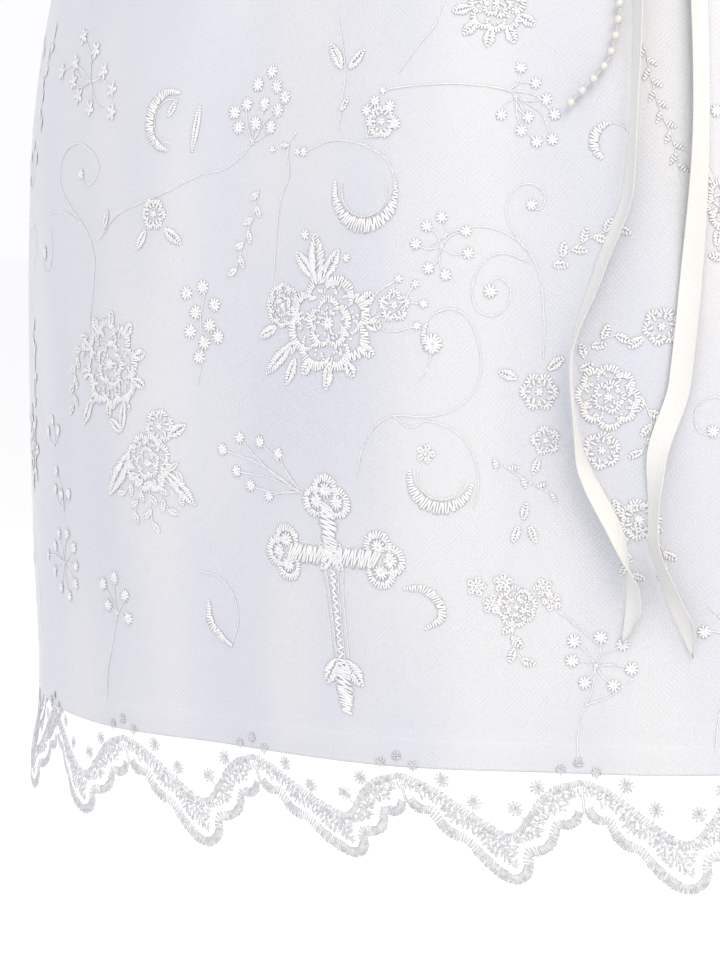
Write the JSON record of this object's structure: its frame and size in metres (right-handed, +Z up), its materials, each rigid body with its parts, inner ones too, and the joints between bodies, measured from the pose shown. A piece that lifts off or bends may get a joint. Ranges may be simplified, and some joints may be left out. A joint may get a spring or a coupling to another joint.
{
  "type": "christening gown",
  "caption": "Christening gown with a bodice, short sleeves and a full satin skirt under an embroidered net overlay with a scalloped border.",
  "frame": {"origin": "midway between the shoulders, at the top of the shoulder seams, where the wearer's shoulders hold the gown up", "axes": "+Z up, the front faces -Y, +X to the viewer's right"},
  "size_m": [0.6536, 0.6624, 0.86],
  "materials": {
    "satin": "smooth bridal satin, soft sheen",
    "net": "fine white net with raised satin-stitch embroidery",
    "ribbon": "double-faced satin ribbon",
    "pearl": "pearlescent coating"
  },
  "bodies": {
    "root": {"skirt_front": "satin", "skirt_back": "satin", "overlay_front": "net", "overlay_back": "net", "bodice_front": "satin", "bodice_back_right": "satin", "bodice_back_left": "satin", "sleeve_right": "satin", "sleeve_left": "satin", "cuff_right": "satin", "cuff_left": "satin", "neck_binding": "satin", "waist_sash": "ribbon", "bow_knot": "ribbon", "bow_loop_left": "ribbon", "bow_loop_right": "ribbon", "button_1": "pearl", "button_2": "pearl", "button_3": "pearl", "ribbon_inner": "ribbon", "ribbon_outer": "ribbon", "pearl_strand": "pearl"}
  },
  "joints": []
}
